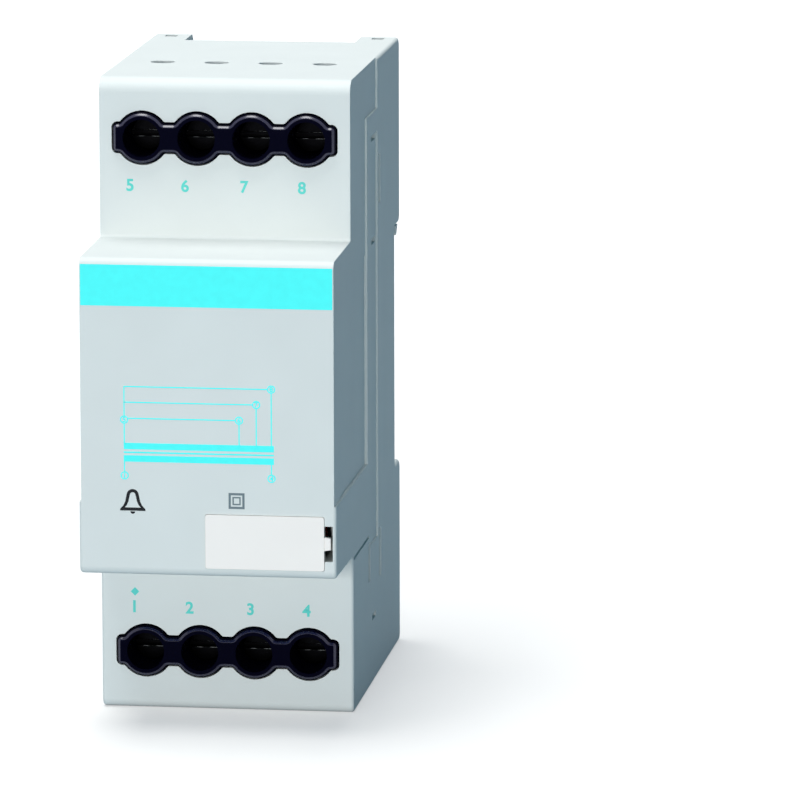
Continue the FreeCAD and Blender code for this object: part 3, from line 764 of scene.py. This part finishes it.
class TRANSFORMER_OT_terminal_blocks(TransformerOperator, bpy.types.Operator):
    """Dress the terminal blocks and cover their fronts with a smooth moulded face"""
    bl_idname = "bell_transformer.terminal_blocks"
    bl_label = "Terminal blocks"

    def execute(self, context):
        # The second finish is a lighter, glossier copy of the first: it paints the highlight on the rims.
        finishes = moulded_polyamide_black(), burnished_polyamide_black()
        places = screw_places()
        pitch = places[1].x - places[0].x
        skin = settings().forms.skin
        y_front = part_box("upper_terminal_block")[0].y - skin
        y_floor = places[0].y - skin
        y_back = shoulder_face() + settings().forms.front_depth
        mesh = row_front_mesh(pitch, y_front, y_back, y_floor)
        for name, place in (("lower", places[0]), ("upper", places[ROW_COUNT])):
            dress(finishes[0], f"{name}_terminal_block")
            front = smooth_object(f"{name}_terminal_front", mesh.copy(), *finishes, sharp_angle=50)
            front.location = (0, 0, place.z)
            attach(front, HOUSING)
        return {"FINISHED"}


SCREW_SIDES = 48
# Rows of points in a turn of the thread, and the turns over which it runs out at each end
THREAD_ROWS = 8
THREAD_RUNOUT = 1.5
# Innermost ring of the head and length of the slot's cutter, in radii of the head
HEAD_RING = 0.5
CUTTER_LENGTH = 3
# Slack in finding the rim of the slot, in millimetres, and the least turn at it, in degrees
RIM_SLACK = 0.001
RIM_TURN = 20


def screw_mesh(head_radius, head_height, shank_radius, shank_length):
    """Turned screw along Y, its head towards -Y: rounded head, neck and helical thread."""
    forms = settings().forms
    work = bmesh.new()
    angles = [2 * math.pi * j / SCREW_SIDES for j in range(SCREW_SIDES)]

    def ring_at(y, radii):
        return ring_of_verts(work, [(radius * math.sin(angle), y, radius * math.cos(angle))
                                    for radius, angle in zip(radii, angles)])

    edge = forms.head_edge
    under = edge / 2
    profile = [(head_radius * HEAD_RING, -head_height)]
    profile += arc((head_radius - edge, edge - head_height), edge, 270, 360, RIM_STEPS)
    profile += [(head_radius, -under), (head_radius - under, 0)]
    rings = [ring_at(y, [radius] * SCREW_SIDES) for radius, y in profile]

    root = shank_radius - forms.thread_depth
    pitch = forms.thread_pitch
    rows = int(shank_length / pitch * THREAD_ROWS)
    fade = THREAD_RUNOUT * pitch
    for i in range(rows + 1):
        y = shank_length * i / rows
        grow = min(1, max(0, (y - pitch) / fade), max(0, (shank_length - y) / fade))
        radii = []
        for j in range(SCREW_SIDES):
            phase = (y / pitch - j / SCREW_SIDES) % 1
            tooth = 1 - abs(2 * phase - 1)
            radii.append(root + forms.thread_depth * grow * tooth)
        rings.append(ring_at(y, radii))
    tube(work, rings, capped=True)
    return finished_mesh("terminal_screw", work)


def cut_slot(mesh, head_radius, head_height):
    """Cut the screwdriver slot across the head and break its edges, with the second finish."""
    forms = settings().forms
    body = linked_object("screw_blank", mesh)
    work = bmesh.new()
    bmesh.ops.create_cube(work, size=1.0)
    # The middle of the cutter lies on the face of the head, so half its depth is in the metal.
    extent = (head_radius * CUTTER_LENGTH, forms.slot_depth * 2, forms.slot_width)
    bmesh.ops.scale(work, verts=work.verts, vec=extent)
    bmesh.ops.translate(work, verts=work.verts, vec=(0, -head_height, 0))
    cutter = linked_object("slot_cutter", finished_mesh("slot_cutter", work))
    cut = body.modifiers.new("slot", "BOOLEAN")
    cut.object = cutter
    cut.operation = "DIFFERENCE"
    cut.solver = "EXACT"
    slotted = evaluated_mesh(body)
    for piece in (body, cutter):
        bpy.data.objects.remove(piece)
    floor = forms.slot_depth - head_height
    near = RIM_SLACK * MM

    def on_rim(edge):
        on_wall = all(abs(abs(v.co.z) - forms.slot_width / 2) < near and v.co.y < floor - near
                      for v in edge.verts)
        return on_wall and edge.calc_face_angle(0) > math.radians(RIM_TURN)

    work = bmesh.new()
    work.from_mesh(slotted)
    rim = [edge for edge in work.edges if on_rim(edge)]
    if not rim:
        raise RuntimeError("the slot was not cut")
    # The broken slot edges take the bare-steel finish: partly wear, partly painted glints.
    worn_and_glint_faces = bmesh.ops.bevel(work, geom=rim, offset=forms.slot_edge, segments=2, profile=0.5,
                           affect="EDGES", clamp_overlap=True)
    for face in worn_and_glint_faces["faces"]:
        face.material_index = 1
    bpy.data.meshes.remove(slotted)
    return finished_mesh("slotted_screw", work)


class TRANSFORMER_OT_terminal_screws(TransformerOperator, bpy.types.Operator):
    """Make the slotted terminal screws with their threads"""
    bl_idname = "bell_transformer.terminal_screws"
    bl_label = "Terminal screws"

    def execute(self, context):
        finishes = black_passivated_turned_steel(), worn_turned_steel()
        low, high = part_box("terminal_screw_1")
        seat = screw_places()[0].y
        head_radius = (high.x - low.x) / 2
        head_height = seat - low.y
        blank = screw_mesh(head_radius, head_height, settings().forms.shank, high.y - seat)
        mesh = cut_slot(blank, head_radius, head_height)
        for number, place in enumerate(screw_places(), 1):
            screw = smooth_object(f"slotted_screw_{number}", mesh.copy(), *finishes, sharp_angle=40)
            screw.location = place
            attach(screw, f"screw_{number}")
            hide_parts(f"terminal_screw_{number}")
        return {"FINISHED"}


class TRANSFORMER_OT_clamps(TransformerOperator, bpy.types.Operator):
    """Dress the clamp cages and the contact strips"""
    bl_idname = "bell_transformer.clamps"
    bl_label = "Clamps"

    def execute(self, context):
        numbers = range(1, SCREW_COUNT + 1)
        dress(zinc_plated_stamped_steel(), *(f"clamp_cage_{i}" for i in numbers))
        dress(stamped_brass(), *(f"contact_{i}" for i in numbers))
        return {"FINISHED"}


class TRANSFORMER_OT_core_and_coil(TransformerOperator, bpy.types.Operator):
    """Dress the core, the coil, its leads and the thermal fuse"""
    bl_idname = "bell_transformer.core_and_coil"
    bl_label = "Core and coil"

    def execute(self, context):
        dress(varnished_laminated_steel(), "core_e_stack", "core_i_stack")
        dress(moulded_nylon_glass_filled(), "coil_bobbin")
        dress(enamelled_copper_wound(), "primary_winding", "secondary_winding")
        dress(polyester_tape_wrapped(), "primary_tape", "secondary_tape")
        dress(extruded_pvc_red(), "primary_leads", "secondary_leads")
        dress(drawn_aluminium_can(), "thermal_fuse")
        return {"FINISHED"}


# Rings of points in a turn of the spring, and points in a ring
SPRING_STEPS = 28
WIRE_SIDES = 12


def spring_mesh(radius, wire, z_low, z_high, y_middle, turns):
    """Compression spring along Z whose last turn at each end lies closed."""
    work = bmesh.new()
    closed = 2 * wire
    z0 = z_low + wire
    z1 = z_high - wire

    def height(turn_number):
        middle = (turn_number - 1) / (turns - 2)
        if turn_number < 1:
            return z0 + closed * turn_number
        if turn_number > turns - 1:
            return z1 - closed * (turns - turn_number)
        return z0 + closed + (z1 - z0 - 2 * closed) * middle

    rings = []
    for i in range(turns * SPRING_STEPS + 1):
        turn_number = i / SPRING_STEPS
        angle = 2 * math.pi * turn_number
        out = Vector((math.cos(angle), math.sin(angle), 0))
        points = [Vector((0, y_middle, z)) + out * reach
                  for reach, z in circle((radius, height(turn_number)), wire, WIRE_SIDES)]
        rings.append(ring_of_verts(work, points))
    tube(work, rings, capped=True)
    return finished_mesh("latch_coil", work)


class TRANSFORMER_OT_rail_latch(TransformerOperator, bpy.types.Operator):
    """Dress the rail latch and make its spring"""
    bl_idname = "bell_transformer.rail_latch"
    bl_label = "Rail latch"

    def execute(self, context):
        dress(moulded_acetal_grey(), "rail_latch")
        forms = settings().forms
        low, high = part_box("latch_spring")
        radius = (high.x - low.x) / 2 - forms.spring_wire
        y_middle = (low.y + high.y) / 2
        mesh = spring_mesh(radius, forms.spring_wire, low.z, high.z, y_middle, forms.spring_turns)
        spring = smooth_object("latch_coil", mesh, drawn_spring_steel(), sharp_angle=60)
        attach(spring, HOUSING)
        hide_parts("latch_spring")
        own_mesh(spring)
        return {"FINISHED"}


# Places and sizes of the printed diagram on the nose, in millimetres from its middle. Taps are by
# terminal number.
RAIL_X = -11.55
TAPS = {8: (9.0, 4.35), 7: (6.9, 2.15), 6: (4.5, -0.1)}
BAR_SPAN = (-11.65, 9.35)
BAR_LEVELS = (-4.0, -5.75)
BETWEEN_BARS = -4.88
BETWEEN_WIDTH = 0.22
PRIMARY_LEVEL = -8.15
COMMON_LEVEL = -0.3
RING_DIGIT = 0.75
RING_STEPS = 32
SQUARES_MIDDLE = (4.1, -11.4)
SQUARES = ((1.12, 0.8), (0.58, 0.38))

# The bell: its foot on the nose, then its right half round that foot, in millimetres. The lip
# grows and shrinks by its own shares of a change in size.
BELL_FOOT = (-10.45, -13.1)
BELL_LINE = 0.45
BELL_DOME = (0, 2.2)
BELL_DOME_RADIUS = 0.85
BELL_DOME_ANGLES = (90, 12)
BELL_FLARE = ((1.05, 1.3), (1.3, 0.75))
BELL_LIP = (1.78, 0.22)
BELL_LIP_SHARES = (1.2, -0.2)
BELL_STEPS = 8
CLAPPER = (0, -0.1)
CLAPPER_RADIUS = 0.34
CLAPPER_STEPS = 12


def bell_outline(grow):
    """Outline of a bell round the middle of its foot: a domed head on flared sides."""
    lip_x, lip_z = (at + grow * share for at, share in zip(BELL_LIP, BELL_LIP_SHARES))
    right = arc(BELL_DOME, BELL_DOME_RADIUS + grow, *BELL_DOME_ANGLES, BELL_STEPS)
    right += [(x + grow, z) for x, z in BELL_FLARE]
    right += [(lip_x, lip_z), (lip_x, -grow)]
    return right + [(-x, z) for x, z in reversed(right)]


def placed(points, middle):
    """Turn millimetre points round a middle into metres."""
    return [((x + middle[0]) * MM, (z + middle[1]) * MM) for x, z in points]


class TRANSFORMER_OT_nose_print(TransformerOperator, bpy.types.Operator):
    """Print the band, the diagram and the pictograms on the nose"""
    bl_idname = "bell_transformer.nose_print"
    bl_label = "Nose print"

    def execute(self, context):
        sizes = settings().print_sizes
        turquoise = pad_printed_ink("turquoise", settings().colours.ink)
        black = pad_printed_ink("black", settings().colours.dark_ink)
        grey = pad_printed_ink("grey", settings().colours.grey_ink)
        low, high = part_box("front_cover")
        y_face = low.y
        side = high.x - sizes.band_margin
        band = outlined(rectangle(-side, side, sizes.band_low, sizes.band_high))
        printed("nose_band", [band], y_face, turquoise)
        printed("nose_diagram", self.diagram(sizes), y_face, turquoise)
        printed("bell_pictogram", self.bell(), y_face, black)
        printed("nested_squares", self.squares(), y_face, grey)
        return {"FINISHED"}

    def diagram(self, sizes):
        """Winding diagram: tapped secondary above two core bars, primary below."""
        line = sizes.thin_line
        ring_radius = sizes.node

        def level(x0, x1, z, width=line):
            half = width / 2
            return outlined(rectangle(x0 * MM, x1 * MM, z * MM - half, z * MM + half))

        def upright(x, high, low):
            half = line / 2
            return outlined(rectangle(x * MM - half, x * MM + half, low * MM, high * MM))

        def terminal(x, z, number):
            middle = (x * MM, z * MM)
            hoop = [circle(middle, radius, RING_STEPS)
                    for radius in (ring_radius, ring_radius - line)]
            return [outlined(*hoop), digit(str(number), *middle, RING_DIGIT * MM)]

        reach = ring_radius / MM
        bar_top = BAR_LEVELS[0] + sizes.bar / MM / 2
        bar_foot = BAR_LEVELS[1] - sizes.bar / MM / 2
        last_x, last_z = TAPS[8]
        films = [level(*BAR_SPAN, z, sizes.bar) for z in BAR_LEVELS]
        films.append(level(*BAR_SPAN, BETWEEN_BARS, BETWEEN_WIDTH * MM))
        for number, (x, z) in TAPS.items():
            start = RAIL_X if z > COMMON_LEVEL + reach else RAIL_X + reach
            films.append(level(start, x - reach, z))
            films.append(upright(x, z - reach, bar_top))
            films += terminal(x, z, number)
        films.append(upright(RAIL_X, last_z, COMMON_LEVEL + reach))
        films.append(upright(RAIL_X, COMMON_LEVEL - reach, bar_top))
        films += terminal(RAIL_X, COMMON_LEVEL, 5)
        for x, number in ((RAIL_X, 1), (last_x, 4)):
            films.append(upright(x, bar_foot, PRIMARY_LEVEL + reach))
            films += terminal(x, PRIMARY_LEVEL, number)
        return films

    def bell(self):
        outlines = [placed(bell_outline(grow), BELL_FOOT) for grow in (0, -BELL_LINE)]
        clapper = placed(arc(CLAPPER, CLAPPER_RADIUS, 180, 360, CLAPPER_STEPS), BELL_FOOT)
        return [outlined(*outlines), outlined(clapper)]

    def squares(self):
        films = []
        for outer, inner in SQUARES:
            sides = [rectangle(-half, half, -half, half) for half in (outer, inner)]
            films.append(outlined(*(placed(side, SQUARES_MIDDLE) for side in sides)))
        return films


# Middles of the terminal numbers on the shoulders, in millimetres
NUMBER_ROWS = {
    "lower_numbers": (-30.3, ((1, -13.3), (2, -5.4), (3, 3.3), (4, 11.3))),
    "upper_numbers": (29.9, ((5, -13.4), (6, -5.6), (7, 2.8), (8, 10.9))),
}
DIAMOND = (-13.2, -28.15)
DIAMOND_REACH = 0.62


class TRANSFORMER_OT_terminal_numbers(TransformerOperator, bpy.types.Operator):
    """Print the terminal numbers on the shoulders"""
    bl_idname = "bell_transformer.terminal_numbers"
    bl_label = "Terminal numbers"

    def execute(self, context):
        ink = pad_printed_ink("sea_green", settings().colours.number_ink)
        height = settings().print_sizes.digit
        for name, (z, numbers) in NUMBER_ROWS.items():
            films = [digit(str(number), x * MM, z * MM, height) for number, x in numbers]
            if name == "lower_numbers":
                films.append(outlined(placed(circle((0, 0), DIAMOND_REACH, 4), DIAMOND)))
            printed(name, films, shoulder_face(), ink)
        return {"FINISHED"}


# Stage: sizes, places and distances in metres, the sensor in millimetres
FLOOR_SIZE = 14.0
LAMPS = {
    "front_light": ((-0.12, -1.75, 0.16), (1.1, 0.36)),
    "top_light": ((-0.2, -0.03, 1.45), (1.1, 0.6)),
    "back_light": ((-0.2, 1.7, 0.1), (0.4, 0.24)),
}
GLOW_SPAN = (0.05, 0.22)
SENSOR_WIDTH = 36
CLIP_SPAN = (0.01, 100)
# Sockets of a mix node for colours, which share their names with those for other data
MIX_FACTOR, MIX_FIRST, MIX_SECOND, MIX_RESULT = 0, 6, 7, 2


def seen_directly(tree):
    """One where a surface is looked at, straight or mirrored, and nought for all other light."""
    path = add_node(tree, "ShaderNodeLightPath").outputs
    bare = add_node(tree, "ShaderNodeMath", {0: path["Is Camera Ray"], 1: path["Is Glossy Ray"]},
                    operation="ADD")
    seen = add_node(tree, "ShaderNodeMath",
                    {0: bare.outputs["Value"], 1: path["Is Transmission Ray"]},
                    operation="ADD", use_clamp=True)
    return seen.outputs["Value"]


def matt_card():
    # Matt card lifted to white, more so further off: it shows no surface of its own, keeps the
    # soft shadow of the object and throws little light back on its sides.
    stage = settings().stage
    material, tree, shader = new_material("matt_card", stage.floor, 0.9, specular=0.0)
    shader.inputs["Emission Color"].default_value = (1, 1, 1, 1)
    seen = seen_directly(tree)
    shade = add_node(tree, "ShaderNodeMix",
                     {MIX_FACTOR: seen, MIX_FIRST: (*stage.floor_bounce, 1),
                      MIX_SECOND: (*stage.floor, 1)}, data_type="RGBA")
    tree.links.new(shade.outputs[MIX_RESULT], shader.inputs["Base Color"])
    place = add_node(tree, "ShaderNodeTexCoord")
    away = add_node(tree, "ShaderNodeVectorMath", {0: place.outputs["Object"]}, operation="LENGTH")
    lift = add_node(tree, "ShaderNodeMapRange",
                    {"Value": away.outputs["Value"], "From Min": GLOW_SPAN[0],
                     "From Max": GLOW_SPAN[1], "To Min": stage.near_glow,
                     "To Max": stage.far_glow})
    glow = add_node(tree, "ShaderNodeMath", {0: seen, 1: lift.outputs["Result"]},
                    operation="MULTIPLY")
    tree.links.new(glow.outputs["Value"], shader.inputs["Emission Strength"])
    return material


class TRANSFORMER_OT_stage(TransformerOperator, bpy.types.Operator):
    """Set up the floor, the light and the camera"""
    bl_idname = "bell_transformer.stage"
    bl_label = "Stage"

    def execute(self, context):
        scene = context.scene
        scene.view_settings.view_transform = "Standard"
        self.floor()
        self.lamps()
        scene.world = self.world()
        scene.camera = self.camera()
        return {"FINISHED"}

    def floor(self):
        work = bmesh.new()
        bmesh.ops.create_grid(work, x_segments=1, y_segments=1, size=FLOOR_SIZE / 2)
        floor = smooth_object("floor", finished_mesh("floor", work), matt_card())
        floor.location.z = CAD_BOX[0][2]

    def lamps(self):
        for name, (place, size) in LAMPS.items():
            data = bpy.data.lights.new(name, "AREA")
            data.shape = "RECTANGLE"
            data.size, data.size_y = size
            data.energy = getattr(settings().stage, name)
            lamp = linked_object(name, data)
            lamp.location = place
            lamp.rotation_euler = (-Vector(place)).to_track_quat("-Z", "Y").to_euler()
            # The low lamps only fill: mirrored at a low angle they would veil the top.
            lamp.visible_glossy = name == "top_light"

    def world(self):
        stage = settings().stage
        world = bpy.data.worlds.new("studio")
        world.use_nodes = True
        tree = world.node_tree
        shown = add_node(tree, "ShaderNodeMix",
                         {MIX_FACTOR: seen_directly(tree), MIX_FIRST: (*stage.room, 1),
                          MIX_SECOND: (*stage.backdrop, 1)}, data_type="RGBA")
        tree.links.new(shown.outputs[MIX_RESULT], tree.nodes["Background"].inputs["Color"])
        return world

    def camera(self):
        """A camera that looks a little down at the front from the right, with the housing left."""
        stage = settings().stage
        across = math.cos(stage.elevation)
        ahead = -Vector((math.sin(stage.azimuth) * across, -math.cos(stage.azimuth) * across,
                         math.sin(stage.elevation)))
        right = ahead.cross(Vector((0, 0, 1))).normalized()
        up = right.cross(ahead)
        rolled_right = right * math.cos(stage.roll) + up * math.sin(stage.roll)
        rolled_up = up * math.cos(stage.roll) - right * math.sin(stage.roll)
        aim = Vector((0, -stage.aim_depth, 0))
        place = aim + rolled_right * stage.aside - rolled_up * stage.down - ahead * stage.distance
        lens = bpy.data.cameras.new("camera")
        lens.lens = stage.lens
        lens.sensor_width = SENSOR_WIDTH
        lens.clip_start, lens.clip_end = CLIP_SPAN
        camera = linked_object("camera", lens)
        axes = Matrix((rolled_right, rolled_up, -ahead)).transposed()
        camera.matrix_world = Matrix.Translation(place) @ axes.to_4x4()
        return camera


# Add-on

class TransformerSettings(bpy.types.PropertyGroup):
    """All settings of the bell transformer"""
    colours: bpy.props.PointerProperty(type=TransformerColours, name="Colours",
                                       description="Colours of the finishes")
    print_sizes: bpy.props.PointerProperty(type=TransformerPrint, name="Print",
                                           description="Sizes of the print")
    forms: bpy.props.PointerProperty(type=TransformerForms, name="Forms",
                                     description="Sizes of the fine forms")
    stage: bpy.props.PointerProperty(type=TransformerStage, name="Stage",
                                     description="Camera and light")


OPERATORS = (
    TRANSFORMER_OT_housing,
    TRANSFORMER_OT_label,
    TRANSFORMER_OT_terminal_blocks,
    TRANSFORMER_OT_terminal_screws,
    TRANSFORMER_OT_clamps,
    TRANSFORMER_OT_core_and_coil,
    TRANSFORMER_OT_rail_latch,
    TRANSFORMER_OT_nose_print,
    TRANSFORMER_OT_terminal_numbers,
    TRANSFORMER_OT_stage,
)


class TRANSFORMER_PT_looks(bpy.types.Panel):
    """Sidebar panel of the bell transformer"""
    bl_idname = "TRANSFORMER_PT_looks"
    bl_label = "Bell transformer"
    bl_space_type = "VIEW_3D"
    bl_region_type = "UI"
    bl_category = "Bell transformer"

    def draw(self, context):
        for operator in OPERATORS:
            self.layout.operator(operator.bl_idname)
        for group in ("colours", "print_sizes", "forms", "stage"):
            box = self.layout.box()
            owner = getattr(context.scene.bell_transformer, group)
            for name in owner.bl_rna.properties.keys():
                if name not in ("rna_type", "name"):
                    box.prop(owner, name)


CLASSES = (
    TransformerColours,
    TransformerPrint,
    TransformerForms,
    TransformerStage,
    TransformerSettings,
    *OPERATORS,
    TRANSFORMER_PT_looks,
)


def register():
    for cls in CLASSES:
        bpy.utils.register_class(cls)
    bpy.types.Scene.bell_transformer = bpy.props.PointerProperty(type=TransformerSettings)


def unregister():
    del bpy.types.Scene.bell_transformer
    for cls in reversed(CLASSES):
        bpy.utils.unregister_class(cls)


def main():
    register()
    for operator in OPERATORS:
        group, name = operator.bl_idname.split(".")
        getattr(getattr(bpy.ops, group), name)()


if __name__ == "__main__":
    main()
